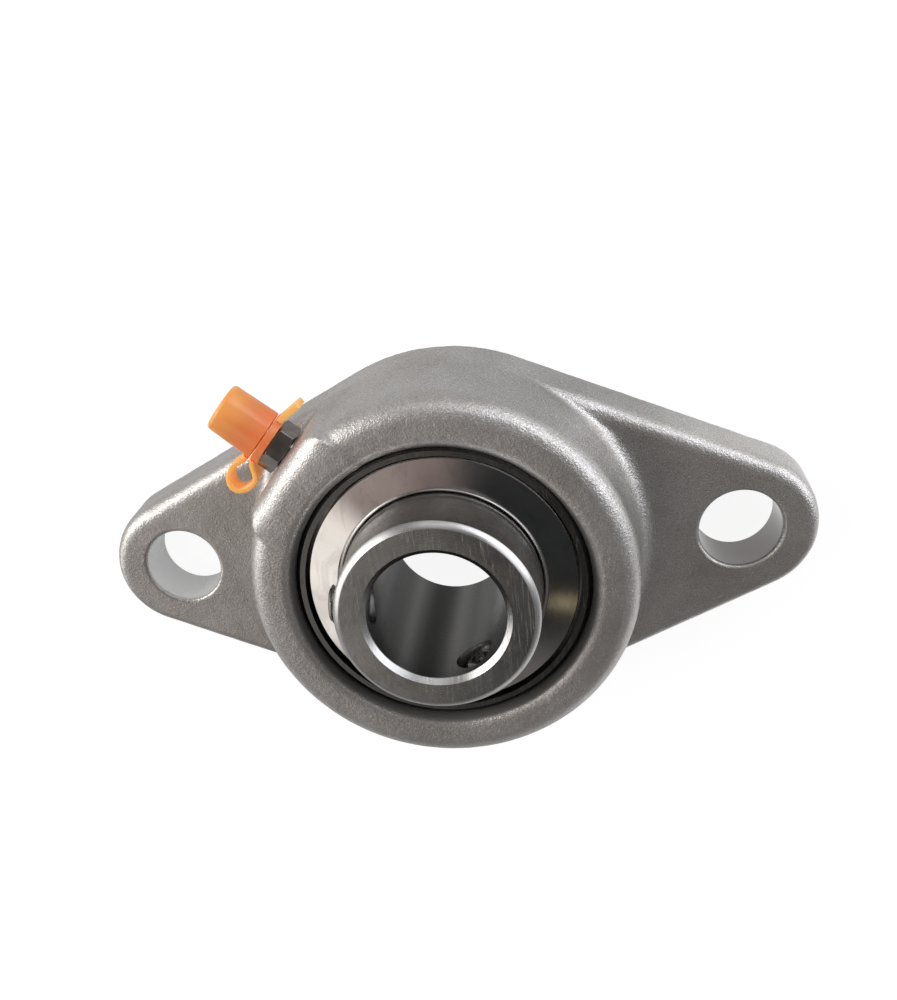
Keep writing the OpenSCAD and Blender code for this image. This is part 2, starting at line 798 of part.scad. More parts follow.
housing();
outer_ring();
inner_ring();
front_seal_plate();
back_seal_plate();
front_seal_lip();
back_seal_lip();
front_slinger();
back_slinger();
cage_front();
cage_back();
cage_rivets();
set_screw_1();
set_screw_2();
grease_nipple();
nipple_ball();
nipple_spring();
dust_cap();
cap_tether_ring();
cap_strap();
for (i = [1:ball_n])
  ball(i);
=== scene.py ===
"""Looks of the flanged bearing unit: camera, light, materials and fine detail around the CAD frame."""
import bmesh
import bpy
import json
import math
import numpy as np
from mathutils import Matrix, Vector

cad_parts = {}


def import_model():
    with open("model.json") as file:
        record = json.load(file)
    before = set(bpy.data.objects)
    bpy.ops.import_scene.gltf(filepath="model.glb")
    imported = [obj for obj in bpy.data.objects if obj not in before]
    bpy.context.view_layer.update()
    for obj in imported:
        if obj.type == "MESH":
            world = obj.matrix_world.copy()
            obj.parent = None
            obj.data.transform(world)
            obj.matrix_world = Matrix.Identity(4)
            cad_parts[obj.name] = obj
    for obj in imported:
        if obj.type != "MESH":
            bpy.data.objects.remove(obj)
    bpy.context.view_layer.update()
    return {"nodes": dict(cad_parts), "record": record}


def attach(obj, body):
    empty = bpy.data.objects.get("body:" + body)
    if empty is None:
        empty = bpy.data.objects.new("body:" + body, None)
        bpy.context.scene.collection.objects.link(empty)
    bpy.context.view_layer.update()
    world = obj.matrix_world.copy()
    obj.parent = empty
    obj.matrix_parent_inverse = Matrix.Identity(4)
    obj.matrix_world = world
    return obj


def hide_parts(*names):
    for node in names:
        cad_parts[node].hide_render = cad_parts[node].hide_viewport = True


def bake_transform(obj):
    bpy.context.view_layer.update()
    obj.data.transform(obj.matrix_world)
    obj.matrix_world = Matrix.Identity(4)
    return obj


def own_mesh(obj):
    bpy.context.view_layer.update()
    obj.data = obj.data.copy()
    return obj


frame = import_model()
scene = bpy.context.scene
MM = 0.001

# Sizes that the part's source gives, in millimetres
CENTRE_H = 15.0
HOLE_X = 45.0
HOLE_R = 6.2
HOLE_SINK = 0.5
TIP_AT = 45.8
TIP_R = 11.15
FLANGE_R = 30.25
FLANGE_H = 9.5
FLANGE_DRAFT = 0.25
FLANGE_FOOT = 0.4
BOSS_FOOT_R = 30.0
BOSS_TAPER = 0.8
BOSS_TAPER_H = 22.3
BOSS_H = 25.5
BOSS_ROUND = 3.2
BOSS_FILLET = 2.6
SEAT_R = 23.52
SEAT_LOW = -9.8
SEAT_HIGH = 9.09
RECESS_R = 22.6
RECESS_H = 5.2
SLOT_R = 23.72
SLOT_HALF = 8.8
TAP_R = 3.08
BORE_R = 10.0
NOSE_R = 14.0
NIPPLE_ANGLE = math.radians(137.5)
PAD_AT = 29.607
SCREW_ANGLES = (math.radians(176.5), math.radians(296.5))
SCREW_H = 28.3
SCREW_IN = 10.8
SCREW_R = 3.0
SCREW_LEN = 5.0
SOCKET_R = 1.5
SOCKET_DEPTH = 2.4
TETHER_AT = 32.707
TETHER_T = 1.2
TETHER_R = 4.0
CAP_AT = 34.027
CAP_R = 4.0
STRAP_T = 0.8
STRAP_W = 3.4
STRAP_REACH = 9.9
STRAP_DIP = 2.0
STRAP_RISE = 0.8
SPRING_FROM = 25.927
SPRING_TO = 37.331
SPRING_R = 1.2
SPRING_WIRE = 0.4
SPRING_TURNS = 6


# Mesh helpers
def new_mesh(name, verts, faces):
    """Smooth mesh object with its faces turned outwards."""
    mesh = bpy.data.meshes.new(name)
    mesh.from_pydata([tuple(v) for v in verts], [], faces)
    mesh.update()
    for p in mesh.polygons:
        p.use_smooth = True
    obj = bpy.data.objects.new(name, mesh)
    scene.collection.objects.link(obj)
    bm = bmesh.new()
    bm.from_mesh(mesh)
    bmesh.ops.recalc_face_normals(bm, faces=bm.faces)
    bm.to_mesh(mesh)
    bm.free()
    return obj


def radial_matrix(angle, height=CENTRE_H):
    """Local z points away from the shaft axis at the given angle; millimetres in, metres out."""
    out = Vector((math.cos(angle), math.sin(angle), 0))
    side = Vector((-math.sin(angle), math.cos(angle), 0))
    down = Vector((0, 0, -1))
    m = Matrix.Identity(4)
    for i in range(3):
        m[i][0] = down[i] * MM
        m[i][1] = side[i] * MM
        m[i][2] = out[i] * MM
    m[2][3] = height * MM
    return m


def tube_faces(rows, cols):
    """Quads between neighbouring closed rows of points, with a cap at each end."""
    faces = []
    for i in range(rows - 1):
        for j in range(cols):
            k = (j + 1) % cols
            faces.append((i * cols + j, i * cols + k, (i + 1) * cols + k, (i + 1) * cols + j))
    faces.append(tuple(range(cols)))
    faces.append(tuple(range((rows - 1) * cols, rows * cols)))
    return faces


def smooth_by_angle(obj, degrees):
    """Keeps the edges that are sharper than the given angle crisp."""
    for p in obj.data.polygons:
        p.use_smooth = True
    obj.data.set_sharp_from_angle(angle=math.radians(degrees))


# Node helpers
class Nodes:
    """A few short calls for building a node tree."""

    def __init__(self, tree):
        self.tree = tree
        tree.nodes.clear()

    def add(self, kind, **values):
        node = self.tree.nodes.new(kind)
        inputs = values.pop("inputs", {})
        for key, value in values.items():
            setattr(node, key, value)
        for key, value in inputs.items():
            self.put(node.inputs[key], value)
        return node

    def put(self, socket, value):
        """Links a socket or sets a value; a colour is written as red, green and blue."""
        if isinstance(value, bpy.types.NodeSocket):
            self.tree.links.new(value, socket)
        elif socket.type == "RGBA":
            socket.default_value = tuple(value) + (1.0,)
        else:
            socket.default_value = value

    def math(self, operation, a, b=None, clamp=False):
        node = self.add("ShaderNodeMath", operation=operation, use_clamp=clamp)
        self.put(node.inputs[0], a)
        if b is not None:
            self.put(node.inputs[1], b)
        return node.outputs[0]

    def hypot(self, a, b):
        squares = self.math("ADD", self.math("MULTIPLY", a, a), self.math("MULTIPLY", b, b))
        return self.math("SQRT", squares)

    def vmath(self, operation, a, b=None):
        node = self.add("ShaderNodeVectorMath", operation=operation)
        self.put(node.inputs[0], a)
        if b is not None:
            self.put(node.inputs[1], b)
        return node.outputs["Value" if operation == "DOT_PRODUCT" else "Vector"]

    def ramp(self, value, low, high, to_low=0.0, to_high=1.0):
        """Soft step from to_low to to_high while value goes from low to high."""
        node = self.add("ShaderNodeMapRange", interpolation_type="SMOOTHSTEP")
        self.put(node.inputs["Value"], value)
        limits = {"From Min": low, "From Max": high, "To Min": to_low, "To Max": to_high}
        for key, limit in limits.items():
            node.inputs[key].default_value = limit
        return node.outputs["Result"]

    def mix(self, factor, a, b, blend="MIX"):
        """Mixes two colours."""
        node = self.add("ShaderNodeMix", data_type="RGBA", blend_type=blend)
        self.put(node.inputs[0], factor)
        self.put(node.inputs[6], a)
        self.put(node.inputs[7], b)
        return node.outputs[2]

    def mix_value(self, factor, a, b):
        node = self.add("ShaderNodeMix", data_type="FLOAT")
        self.put(node.inputs[0], factor)
        self.put(node.inputs[2], a)
        self.put(node.inputs[3], b)
        return node.outputs[0]

    def mix_vector(self, factor, a, b):
        node = self.add("ShaderNodeMix", data_type="VECTOR")
        self.put(node.inputs[0], factor)
        self.put(node.inputs[4], a)
        self.put(node.inputs[5], b)
        return node.outputs[1]

    def noise(self, vector, scale, detail, rough=0.5, kind="3D", distortion=0.0):
        node = self.add("ShaderNodeTexNoise", noise_dimensions=kind)
        self.put(node.inputs["W" if kind == "1D" else "Vector"], vector)
        node.inputs["Scale"].default_value = scale
        node.inputs["Detail"].default_value = detail
        node.inputs["Roughness"].default_value = rough
        node.inputs["Distortion"].default_value = distortion
        return node.outputs[0]

    def bump(self, height, distance, strength=1.0, normal=None):
        node = self.add("ShaderNodeBump")
        node.inputs["Strength"].default_value = strength
        node.inputs["Distance"].default_value = distance
        self.put(node.inputs["Height"], height)
        if normal is not None:
            self.put(node.inputs["Normal"], normal)
        return node.outputs[0]

    def place(self):
        """Place on the object in the row frame, in metres."""
        return self.add("ShaderNodeTexCoord").outputs["Object"]

    def parts(self, vector):
        """The x, y and z of a vector."""
        return self.add("ShaderNodeSeparateXYZ", inputs={0: vector}).outputs


def scaled(colour, factor, plus=0.0):
    return tuple(min(c * factor + plus, 1.0) for c in colour)


def material(name):
    mat = bpy.data.materials.new(name)
    mat.use_nodes = True
    n = Nodes(mat.node_tree)
    shader = n.add("ShaderNodeBsdfPrincipled")
    out = n.add("ShaderNodeOutputMaterial")
    n.put(out.inputs[0], shader.outputs[0])
    return mat, n, shader


# Blasted cast steel, with the machined seat and mouth and the drilled walls of the bolt holes; the seat,
# the mouth and the hole walls carry painted reflections in their colour
CAST_DARK = (0.46, 0.437, 0.417)
CAST_LIGHT = (0.56, 0.54, 0.525)
CAST_HOLLOW = (0.24, 0.222, 0.205)
CAST_CREST = (0.86, 0.84, 0.81)
CAST_SPARKLE = (1.0, 0.98, 0.95)
CAST_PIT = (0.14, 0.13, 0.12)
MACHINED_PAINTED_DARK = (0.21, 0.206, 0.20)
HOLE_WALL_PAINTED_BRIGHT = (0.90, 0.90, 0.90)
HOLE_WALL_PAINTED_DARK = (0.215, 0.203, 0.196)
# Distance from the shaft axis, in metres, over which the machined seat turns into the cast skin
MACHINED_TO_CAST = (0.0224, 0.0231)


def cast_material():
    mat, n, s = material("cast_look")
    place = n.place()
    x, y = n.parts(place)[:2]
    s.inputs["Metallic"].default_value = 0.7
    machined = n.ramp(n.hypot(x, y), *MACHINED_TO_CAST, 1, 0)
    from_hole = n.hypot(n.math("SUBTRACT", n.math("ABSOLUTE", x), HOLE_X * MM), y)
    drilled = n.ramp(from_hole, (HOLE_R + 0.05) * MM, (HOLE_R + 0.2) * MM, 1, 0)
    blotch = n.noise(place, 90, 3, 0.6)
    lumps = n.noise(place, 900, 3, 0.55)
    pits = n.noise(place, 1500, 2, 0.6)
    grain = n.noise(place, 3600, 2, 0.7)
    fine = n.noise(place, 8200, 2, 0.6)
    # The blasted grain is dark in its hollows and bright on its crests, with a few sparkles and pits
    tone = n.mix(n.ramp(blotch, 0.3, 0.7), CAST_DARK, CAST_LIGHT)
    tone = n.mix(n.ramp(grain, 0.36, 0.50, 0.42, 0), tone, CAST_HOLLOW)
    tone = n.mix(n.ramp(grain, 0.58, 0.70, 0, 0.5), tone, CAST_CREST)
    tone = n.mix(n.ramp(fine, 0.68, 0.74, 0, 0.9), tone, CAST_SPARKLE)
    tone = n.mix(n.ramp(pits, 0.25, 0.30, 0.55, 0), tone, CAST_PIT)
    # Painted dark reflection: the machined seat and mouth are painted dark
    tone = n.mix(machined, tone, MACHINED_PAINTED_DARK)
    # Painted reflection: the left bolt hole's inner face is painted near-white like the white floor it
    # mirrors, and the right one is painted dark
    painted_hole_wall = n.mix(n.ramp(x, -0.01, 0.01), HOLE_WALL_PAINTED_BRIGHT, HOLE_WALL_PAINTED_DARK)
    n.put(s.inputs["Base Color"], n.mix(drilled, tone, painted_hole_wall))
    rough = n.mix_value(machined, n.ramp(grain, 0.3, 0.7, 0.36, 0.25), 0.28)
    n.put(s.inputs["Roughness"], n.mix_value(drilled, rough, 0.17))
    tooled = n.math("MAXIMUM", n.math("MULTIPLY", machined, 0.9), drilled)
    blasted = n.math("SUBTRACT", 1.0, tooled, clamp=True)
    normal = n.bump(n.math("MULTIPLY", lumps, blasted), 0.00008)
    normal = n.bump(n.math("MULTIPLY", grain, blasted), 0.00006, 1.0, normal)
    normal = n.bump(n.math("MULTIPLY", fine, blasted), 0.00002, 1.0, normal)
    n.put(s.inputs["Normal"], normal)
    return mat


# Turned and ground steel: fine marks run around the shaft axis, with faint stains and smears
def turned_material(name, tone, rough, marks, anisotropy, finish=None):
    """finish may add to the colour and the normal of one kind of ring."""
    mat, n, s = material(name)
    place = n.place()
    x, y, z = n.parts(place)
    radius = n.hypot(x, y)
    s.inputs["Metallic"].default_value = 1.0
    s.inputs["Anisotropic"].default_value = anisotropy
    n.put(s.inputs["Tangent"], n.add("ShaderNodeTangent", direction_type="RADIAL", axis="Z").outputs[0])
    turns = n.noise(n.math("MULTIPLY", n.math("ADD", radius, z), 14000), 1.0, 3, 0.7, kind="1D")
    stain = n.noise(place, 160, 4, 0.6)
    smear = n.noise(n.vmath("MULTIPLY", place, (230, 120, 120)), 1.0, 4, 0.65, distortion=1.2)
    smear = n.math("MULTIPLY", n.ramp(smear, 0.52, 0.68), 0.28)
    colour = n.mix(n.ramp(stain, 0.25, 0.75), scaled(tone, 0.86), tone)
    colour = n.mix(smear, colour, scaled(tone, 0.5))
    normal = n.bump(turns, marks)
    if finish:
        colour, normal = finish(n, place, radius, z, colour, normal)
    n.put(s.inputs["Base Color"], colour)
    uneven = n.math("ADD", n.math("MULTIPLY", turns, 0.6), n.math("MULTIPLY", stain, 0.4))
    n.put(s.inputs["Roughness"], n.ramp(uneven, 0.3, 0.7, rough * 0.8, rough * 1.25))
    n.put(s.inputs["Normal"], normal)
    return mat


RING_TONE = (0.47, 0.46, 0.45)
OUTER_RING_PAINTED_DARK = (0.19, 0.186, 0.18)
BORE_PAINTED_SHADE = scaled(RING_TONE, 0.0704)
BORE_PAINTED_REFLECTION = scaled(RING_TONE, 0.55)
SCRATCH_DEPTH = 0.000006
# Places in metres: where the outer ring starts, and the height of the nose's rounded edge
OUTER_RING_FROM = (0.0190, 0.0194)
NOSE_EDGE_Z = (0.0323, 0.0326)
# Direction in radians and fineness of the crossing scratches on the nose
SCRATCHES = ((0.35, 1.0), (-0.9, 0.8), (1.5, 1.2))


def ring_finish(n, place, radius, z, colour, normal):
    """Outer ring painted dark as a painted dark reflection, the shaft hole painted dark as painted shade
    with lighter painted streaks of reflection along it, and a scratched nose with a soft bright edge.
    """
    # Painted dark reflection: the outer ring's face is painted dark
    colour = n.mix(n.ramp(radius, *OUTER_RING_FROM), colour, OUTER_RING_PAINTED_DARK)
    # Painted shade: the shaft hole is painted dark, with lighter painted streaks of reflection along its
    # length
    reflection_streak = n.noise(n.vmath("MULTIPLY", place, (105, 105, 3)), 1.0, 2, 0.45)
    bore_painted_shade = n.mix(n.ramp(reflection_streak, 0.36, 0.66), BORE_PAINTED_SHADE, BORE_PAINTED_REFLECTION)
    inside = n.ramp(radius, (BORE_R + 0.02) * MM, (BORE_R + 0.12) * MM, 1, 0)
    colour = n.mix(inside, colour, bore_painted_shade)
    for angle, fineness in SCRATCHES:
        turned = n.add("ShaderNodeMapping", inputs={
            "Vector": place,
            "Rotation": (0, 0, angle),
            "Scale": (5200 * fineness, 130, 130),
        })
        line = n.noise(turned.outputs[0], 1.0, 2, 0.6)
        normal = n.bump(n.ramp(line, 0.62, 0.72), SCRATCH_DEPTH, 1.0, normal)
    # The nose's rounded edge catches the light as one soft band
    at_edge = n.ramp(radius, (NOSE_R - 0.25) * MM, (NOSE_R - 0.05) * MM)
    rim = n.math("MULTIPLY", at_edge, n.ramp(z, *NOSE_EDGE_Z))
    outward = n.vmath("NORMALIZE", n.vmath("MULTIPLY", place, (1, 1, 0)))
    slope = n.vmath("NORMALIZE", n.vmath("ADD", outward, (0, 0, 1)))
    normal = n.mix_vector(n.math("MULTIPLY", rim, 0.7), normal, slope)
    return colour, n.vmath("NORMALIZE", normal)


def plain_metal(name, tone, rough, edge=0.0):
    """Clouded metal; edge is the radius in metres over which worn edges catch the light."""
    mat, n, s = material(name)
    place = n.place()
    s.inputs["Metallic"].default_value = 1.0
    cloud = n.noise(place, 600, 4, 0.6)
    n.put(s.inputs["Base Color"], n.mix(n.ramp(cloud, 0.3, 0.7), tone, scaled(tone, 1.35, 0.02)))
    uneven = n.noise(place, 2400, 3, 0.6)
    n.put(s.inputs["Roughness"], n.ramp(uneven, 0.3, 0.7, rough * 0.75, rough * 1.3))
    normal = n.bump(n.noise(place, 3000, 3, 0.6), 0.00001, 0.4)
    if edge:
        bevel = n.add("ShaderNodeBevel", samples=6, inputs={"Radius": edge, "Normal": normal})
        normal = bevel.outputs[0]
    n.put(s.inputs["Normal"], normal)
    return mat


RUBBER_DARK = (0.012, 0.012, 0.012)
RUBBER_LIGHT = (0.03, 0.03, 0.03)


def rubber_material():
    mat, n, s = material("rubber_look")
    place = n.place()
    n.put(s.inputs["Base Color"], n.mix(n.noise(place, 900, 3), RUBBER_DARK, RUBBER_LIGHT))
    n.put(s.inputs["Roughness"], n.ramp(n.noise(place, 2000, 2), 0.3, 0.7, 0.5, 0.7))
    n.put(s.inputs["Normal"], n.bump(n.noise(place, 4000, 2), 0.00001))
    return mat


# Orange cap plastic: deep at the open end, paler at the closed end, with painted light in the thin strap
# and tab
CAP_DEEP = ((0.92, 0.22, 0.07), (0.95, 0.26, 0.085))
CAP_PALE = ((0.87, 0.36, 0.09), (0.90, 0.42, 0.12))
CAP_THIN_PAINTED_LIGHT = (0.96, 0.47, 0.13)
# Distance along the nipple's axis, in metres, over which the deep colour turns pale
CAP_FADE = (0.0355, 0.0418)


def plastic_material():
    mat, n, s = material("cap_look")
    place = n.place()
    # Distance along the nipple's axis and away from it
    axis = (math.cos(NIPPLE_ANGLE), math.sin(NIPPLE_ANGLE), 0)
    across = (-math.sin(NIPPLE_ANGLE), math.cos(NIPPLE_ANGLE), 0)
    along = n.vmath("DOT_PRODUCT", place, axis)
    side = n.vmath("DOT_PRODUCT", place, across)
    up = n.math("SUBTRACT", n.parts(place)[2], CENTRE_H * MM)
    away = n.hypot(side, up)
    # Painted shade: soft stripes around the cap stand in for the shading of faint facets
    around = n.math("MULTIPLY", n.math("ARCTAN2", up, side), 3.2)
    facet_shade = n.ramp(n.noise(around, 1.0, 2, 0.5, kind="1D"), 0.35, 0.65)
    cloud = n.ramp(n.noise(place, 260, 3, 0.5), 0.3, 0.7)
    thin = n.ramp(away, (CAP_R + 0.02) * MM, (CAP_R + 0.4) * MM)
    colour = n.mix(n.ramp(along, *CAP_FADE), n.mix(facet_shade, *CAP_DEEP), n.mix(cloud, *CAP_PALE))
    # Painted light: the thin strap and tab are painted paler, as light coming through them
    colour = n.mix(thin, colour, CAP_THIN_PAINTED_LIGHT)
    n.put(s.inputs["Base Color"], colour)
    # Painted glow: the plastic emits its own colour as painted light coming through the walls, more where
    # they are thin
    n.put(s.inputs["Emission Color"], colour)
    n.put(s.inputs["Emission Strength"], n.mix_value(thin, 0.11, 0.22))
    n.put(s.inputs["Roughness"], n.ramp(n.noise(place, 900, 3), 0.3, 0.7, 0.30, 0.42))
    s.inputs["Subsurface Weight"].default_value = 0.85
    s.inputs["Subsurface Radius"].default_value = (1.0, 0.42, 0.12)
    s.inputs["Subsurface Scale"].default_value = 0.0022
    s.inputs["Specular IOR Level"].default_value = 0.45
    n.put(s.inputs["Normal"], n.bump(n.noise(place, 700, 3, 0.55), 0.00003))
    return mat


SLINGER_TONE = (0.78, 0.76, 0.745)
SEAL_TONE = (0.52, 0.51, 0.50)
CAGE_TONE = (0.45, 0.43, 0.40)
BALL_TONE = (0.75, 0.75, 0.75)
SCREW_TONE = (0.30, 0.29, 0.28)
NIPPLE_TONE = (0.195, 0.175, 0.16)
SPRING_TONE = (0.5, 0.5, 0.5)

LOOKS = {
    "cast_stainless": cast_material(),
    "ring_steel": turned_material("ring_look", RING_TONE, 0.26, 0.000004, 0.4, ring_finish),
    "polished_steel": turned_material("slinger_look", SLINGER_TONE, 0.09, 0.0000008, 0.55),
    "seal_steel": turned_material("seal_look", SEAL_TONE, 0.3, 0.000003, 0.5),
    "cage_steel": plain_metal("cage_look", CAGE_TONE, 0.3),
    "ball_steel": plain_metal("ball_look", BALL_TONE, 0.06),
    "screw_steel": plain_metal("screw_look", SCREW_TONE, 0.28),
    "nipple_metal": plain_metal("nipple_look", NIPPLE_TONE, 0.13, edge=0.0002),
    "spring_steel": plain_metal("spring_look", SPRING_TONE, 0.25),
    "seal_rubber": rubber_material(),
    "orange_plastic": plastic_material(),
}
slot_of = {s["node"]: s["material_slot"] for s in frame["record"]["subparts"]}
for name, obj in frame["nodes"].items():
    obj.data.materials.clear()
    obj.data.materials.append(LOOKS[slot_of[name]])


def dress(obj, slot):
    """Gives a new piece the look of the material slot of the solid it stands for."""
    obj.data.materials.clear()
    obj.data.materials.append(LOOKS[slot])


# Casting: the same shapes as the CAD housing, but blended as a casting is, then machined
PAD_ROUND = 0.8
PAD_FACE_HALF = 7.4
PAD_HALF = 8.9
PAD_ROOT = 12
PAD_FILLET = 0.9
LEAST_FILLET = 0.12
ROUGH_BORE_R = 22.1
MOUTH_ROUND = 2.0
DIAGONAL = 0.7071
# Rounding of the flange's edge, what it gains towards positive y, and where and over what length
EDGE_ROUND = 1.35
EDGE_GAIN = 1.1
EDGE_GAIN_FROM = -4
EDGE_GAIN_LEN = 12
# Distance inside the flange's edge at which the boss's fillet starts, and where it is full
FADE_FROM = 0.3
FADE_LEN = 4.2
# Corners of the grid that the casting is skinned on, and the size of its cells
GRID_LOW = (-58.2, -31.5, -0.7)
GRID_HIGH = (58.2, 31.5, 26.6)
CELL = 0.45
# Height, seed, shortest and longest length of the waves in the cast skin, and how deep it lies
SKIN_WAVES = ((0.022, 3, 3.0, 11), (0.003, 5, 1.1, 2.2))
SKIN_DROP = 0.03


def hypot(a, b):
    return np.sqrt(a * a + b * b)


def rounded(a, b, r):
    """Distance to the corner where two faces a and b meet, rounded by r."""
    a, b = a + r, b + r
    return hypot(np.maximum(a, 0), np.maximum(b, 0)) + np.minimum(np.maximum(a, b), 0) - r


def filleted(a, b, r):
    """Union of two bodies with a fillet of radius r between them."""
    return np.maximum(r, np.minimum(a, b)) - hypot(np.maximum(r - a, 0), np.maximum(r - b, 0))


def soft_step(t):
    t = np.clip(t, 0, 1)
    return t * t * (3 - 2 * t)


def outline(x, y):
    """Distance to the flange's oval outline: a large circle, two small ones and their tangents."""
    slope = (FLANGE_R - TIP_R) / TIP_AT
    flat = math.sqrt(1 - slope * slope)
    x, y = np.abs(x), np.abs(y)
    along = y * -slope + x * flat
    middle = hypot(x, y) - FLANGE_R
    ear = hypot(x - TIP_AT, y) - TIP_R
    side = y * flat + x * slope - FLANGE_R
    return np.where(along < 0, middle, np.where(along > flat * TIP_AT, ear, side))


def casting(x, y, z):
    """Distance to the rough casting."""
    edge = outline(x, y)
    r = hypot(x, y)
    # The flange's edge is rounder on the side of positive y
    edge_round = EDGE_ROUND + EDGE_GAIN * np.clip((y - EDGE_GAIN_FROM) / EDGE_GAIN_LEN, 0, 1)
    flange = rounded(edge + FLANGE_DRAFT * z / FLANGE_H, z - FLANGE_H, edge_round)
    boss = rounded(r - (BOSS_FOOT_R - BOSS_TAPER * z / BOSS_TAPER_H), z - BOSS_H, BOSS_ROUND)
    # The nipple's pad: level in front, sloping off at both ends, and rooted in the boss
    c, s = math.cos(NIPPLE_ANGLE), math.sin(NIPPLE_ANGLE)
    out = x * c + y * s
    across = np.abs(y * c - x * s)
    pad = rounded(out - PAD_AT, z - BOSS_H, BOSS_ROUND)
    pad = rounded(pad, (across + out - PAD_AT - PAD_FACE_HALF) * DIAGONAL, PAD_ROUND)
    pad = np.maximum(pad, across - PAD_HALF)
    pad = np.maximum(pad, PAD_ROOT - out)
    boss = filleted(boss, pad, PAD_FILLET)
    # The fillet dies out where the boss comes near the flange's edge
    fillet = LEAST_FILLET + BOSS_FILLET * soft_step((-edge - FADE_FROM) / FADE_LEN)
    d = filleted(boss, flange, fillet)
    d = rounded(d, ROUGH_BORE_R - r, MOUTH_ROUND)
    d = np.maximum(d, (edge + FLANGE_FOOT - z) * DIAGONAL)
    return np.maximum(d, -z)


def slope_of(field, p, step=0.02):
    """Gradient of the field at the points p."""
    g = np.empty_like(p)
    for i in range(3):
        a, b = p.copy(), p.copy()
        a[:, i] += step
        b[:, i] -= step
        g[:, i] = (field(*a.T) - field(*b.T)) / (2 * step)
    return g


def crossings(f, shape):
    """Sum and number of the zero crossings on the twelve edges of each cell, in cell units."""
    total = np.zeros(shape + (3,))
    count = np.zeros(shape)
    for axis in range(3):
        others = [i for i in range(3) if i != axis]
        for da in (0, 1):
            for db in (0, 1):
                offset = [0, 0, 0]
                offset[others[0]], offset[others[1]] = da, db
                first = tuple(slice(o, o + n) for o, n in zip(offset, shape))
                offset[axis] = 1
                second = tuple(slice(o, o + n) for o, n in zip(offset, shape))
                offset[axis] = 0
                f0, f1 = f[first], f[second]
                cross = (f0 < 0) != (f1 < 0)
                t = np.where(cross, f0 / np.where(cross, f0 - f1, 1), 0)
                for i in range(3):
                    total[..., i] += np.where(cross, offset[i] + (t if i == axis else 0), 0)
                count += cross
    return total, count


def quads_across(inside, index, axis):
    """One quad around each grid edge along axis that passes through the surface."""
    u, v = [i for i in range(3) if i != axis]
    near = [slice(1, -1)] * 3
    near[axis] = slice(0, inside.shape[axis] - 1)
    far = list(near)
    far[axis] = slice(1, inside.shape[axis])
    a, b = inside[tuple(near)], inside[tuple(far)]
    where = np.argwhere(a != b)
    outwards = a[tuple(where.T)]
    if axis == 1:
        outwards = ~outwards
    where[:, u] += 1
    where[:, v] += 1
    ring = []
    for du, dv in ((-1, -1), (0, -1), (0, 0), (-1, 0)):
        cell = where.copy()
        cell[:, u] += du
        cell[:, v] += dv
        ring.append(index[tuple(cell.T)])
    ring = np.stack(ring, axis=1)
    ring[~outwards] = ring[~outwards][:, ::-1]
    return ring


def skin(field, low, high, h):
    """Quads over the zero surface of a distance field, with each corner drawn onto the surface."""
    axes = [np.arange(a, b + h, h) for a, b in zip(low, high)]
    f = field(*np.meshgrid(*axes, indexing="ij"))
    shape = tuple(n - 1 for n in f.shape)
    total, count = crossings(f, shape)
    active = count > 0
    index = np.full(shape, -1)
    index[active] = np.arange(active.sum())
    p = (np.argwhere(active) + total[active] / count[active][:, None]) * h + np.array(low)
    quads = np.concatenate([quads_across(f < 0, index, axis) for axis in range(3)])
    for _ in range(3):
        g = slope_of(field, p)
        p = p - field(*p.T)[:, None] * g / np.maximum((g * g).sum(1), 0.2)[:, None]
    return p, quads


def waves(p, seed, shortest, longest, count=40):
    """A smooth uneven field, from about -1 to 1, as a cast surface has."""
    rng = np.random.default_rng(seed)
    total = np.zeros(len(p))
    for _ in range(count):
        direction = rng.normal(size=3)
        direction /= np.linalg.norm(direction)
        length = math.exp(rng.uniform(math.log(shortest), math.log(longest)))
        total += np.sin(p @ direction * 2 * math.pi / length + rng.uniform(0, 2 * math.pi))
    return total / math.sqrt(count / 2) / 2.2


def lathe(name, profile, x=0.0, cols=160):
    """Closed solid of revolution about a line parallel to z at x, from radius and height pairs."""
    turns = [2 * math.pi * j / cols for j in range(cols)]
    verts = [(x, 0, profile[0][1])]
    for r, z in profile:
        verts += [(x + r * math.cos(a), r * math.sin(a), z) for a in turns]
    verts.append((x, 0, profile[-1][1]))
    faces = [(0, 1 + (j + 1) % cols, 1 + j) for j in range(cols)]
    for i in range(len(profile) - 1):
        a, b = 1 + i * cols, 1 + (i + 1) * cols
        for j in range(cols):
            k = (j + 1) % cols
            faces.append((a + j, a + k, b + k, b + j))
    last, top = len(verts) - 1, 1 + (len(profile) - 1) * cols
    faces += [(last, top + j, top + (j + 1) % cols) for j in range(cols)]
    return new_mesh(name, verts, faces)


def cut_away(obj, cutters):
    """Takes the cutters off the object, and closes up the slivers along the cuts."""
    sliver = 0.002
    for cutter in cutters:
        modifier = obj.modifiers.new("cut", "BOOLEAN")
        modifier.operation = "DIFFERENCE"
        modifier.solver = "MANIFOLD"
        modifier.object = cutter
    bpy.context.view_layer.update()
    mesh = bpy.data.meshes.new_from_object(obj.evaluated_get(bpy.context.evaluated_depsgraph_get()))
    obj.modifiers.clear()
    obj.data = mesh
    bm = bmesh.new()
    bm.from_mesh(mesh)
    bmesh.ops.triangulate(bm, faces=[f for f in bm.faces if len(f.verts) > 4])
    for _ in range(3):
        bmesh.ops.remove_doubles(bm, verts=bm.verts, dist=sliver)
        bmesh.ops.dissolve_degenerate(bm, dist=sliver, edges=bm.edges)
    bm.to_mesh(mesh)
    bm.free()
    for cutter in cutters:
        bpy.data.objects.remove(cutter)


# How far the cutters reach beyond the casting, and the radius of the mouth's cone there
CLEAR = 1.0
CONE_R = 24.1
